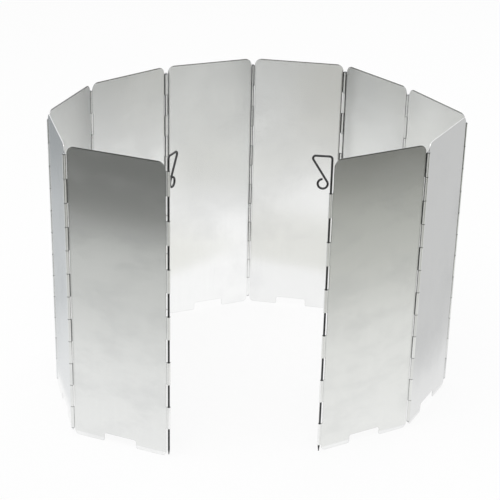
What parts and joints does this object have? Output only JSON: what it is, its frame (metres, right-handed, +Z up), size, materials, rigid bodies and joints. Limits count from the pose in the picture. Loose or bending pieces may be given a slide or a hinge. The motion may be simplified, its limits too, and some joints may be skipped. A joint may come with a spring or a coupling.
{
  "type": "stove windscreen",
  "caption": "Folding aluminium windscreen of hinged plates that stands as a ring round a camp stove, with a wire ground stake at each free edge.",
  "frame": {"origin": "on the ground, in the middle of the ring's footprint", "axes": "+Z up, the ring's open front towards -Y, the longer side of the footprint along X"},
  "size_m": [0.3312, 0.2906, 0.2451],
  "materials": {
    "plate_aluminium": "satin rolled sheet",
    "pin_steel": "drawn wire",
    "stake_steel": "drawn wire"
  },
  "bodies": {
    "plate_1": {"panel_01": "plate_aluminium"},
    "plate_2": {"panel_02": "plate_aluminium", "hinge_pin_1": "pin_steel"},
    "plate_3": {"panel_03": "plate_aluminium", "hinge_pin_2": "pin_steel"},
    "plate_4": {"panel_04": "plate_aluminium", "hinge_pin_3": "pin_steel"},
    "plate_5": {"panel_05": "plate_aluminium", "hinge_pin_4": "pin_steel", "hinge_pin_5": "pin_steel"},
    "plate_6": {"panel_06": "plate_aluminium", "hinge_pin_6": "pin_steel"},
    "plate_7": {"panel_07": "plate_aluminium", "hinge_pin_7": "pin_steel"},
    "plate_8": {"panel_08": "plate_aluminium", "hinge_pin_8": "pin_steel"},
    "plate_9": {"panel_09": "plate_aluminium", "hinge_pin_9": "pin_steel"},
    "plate_10": {"panel_10": "plate_aluminium"},
    "left_stake": {"left_stake": "stake_steel"},
    "right_stake": {"right_stake": "stake_steel"}
  },
  "joints": [
    {"name": "fold", "type": "hinge", "parent": "plate_5", "child": "plate_6", "pos_m": [-0.00568, 0.14392, 0.12], "axis": [0, 0, 1], "range_deg": [0, 211]},
    {"name": "fold_hinge_4", "type": "hinge", "parent": "plate_5", "child": "plate_4", "pos_m": [-0.08174, 0.10827, 0.12], "axis": [0, 0, 1], "range_deg": [-0.1, 155.1]},
    {"name": "fold_hinge_3", "type": "hinge", "parent": "plate_4", "child": "plate_3", "pos_m": [-0.14126, 0.04899, 0.12], "axis": [0, 0, -1], "range_deg": [-0.1, 204.1]},
    {"name": "fold_hinge_2", "type": "hinge", "parent": "plate_3", "child": "plate_2", "pos_m": [-0.16425, -0.03181, 0.12], "axis": [0, 0, 1], "range_deg": [-0.1, 143.1]},
    {"name": "fold_hinge_1", "type": "hinge", "parent": "plate_2", "child": "plate_1", "pos_m": [-0.14126, -0.11261, 0.12], "axis": [0, 0, -1], "range_deg": [-0.1, 227.1]},
    {"name": "fold_hinge_6", "type": "hinge", "parent": "plate_6", "child": "plate_7", "pos_m": [0.07675, 0.12773, 0.12], "axis": [0, 0, -1], "range_deg": [-0.1, 132.1]},
    {"name": "fold_hinge_7", "type": "hinge", "parent": "plate_7", "child": "plate_8", "pos_m": [0.12626, 0.05987, 0.12], "axis": [0, 0, 1], "range_deg": [-0.1, 184.1]},
    {"name": "fold_hinge_8", "type": "hinge", "parent": "plate_8", "child": "plate_9", "pos_m": [0.16425, -0.01506, 0.12], "axis": [0, 0, -1], "range_deg": [-0.1, 121.1]},
    {"name": "right_door", "type": "hinge", "parent": "plate_9", "child": "plate_10", "pos_m": [0.12626, -0.08998, 0.12], "axis": [0, 0, 1], "range_deg": [0, 211]},
    {"name": "left_stake_slide", "type": "slide", "parent": "plate_1", "child": "left_stake", "axis": [0, 0, 1], "range_m": [-0.008, 0.213]},
    {"name": "right_stake_slide", "type": "slide", "parent": "plate_10", "child": "right_stake", "axis": [0, 0, 1], "range_m": [-0.0255, 0.195]}
  ],
  "couplings": [
    {"joint": "fold_hinge_4", "follows": "fold", "ratio": 0.7346},
    {"joint": "fold_hinge_3", "follows": "fold", "ratio": 0.96682},
    {"joint": "fold_hinge_2", "follows": "fold", "ratio": 0.67773},
    {"joint": "fold_hinge_1", "follows": "fold", "ratio": 1.0758},
    {"joint": "fold_hinge_6", "follows": "fold", "ratio": 0.62559},
    {"joint": "fold_hinge_7", "follows": "fold", "ratio": 0.87204},
    {"joint": "fold_hinge_8", "follows": "fold", "ratio": 0.57346}
  ]
}
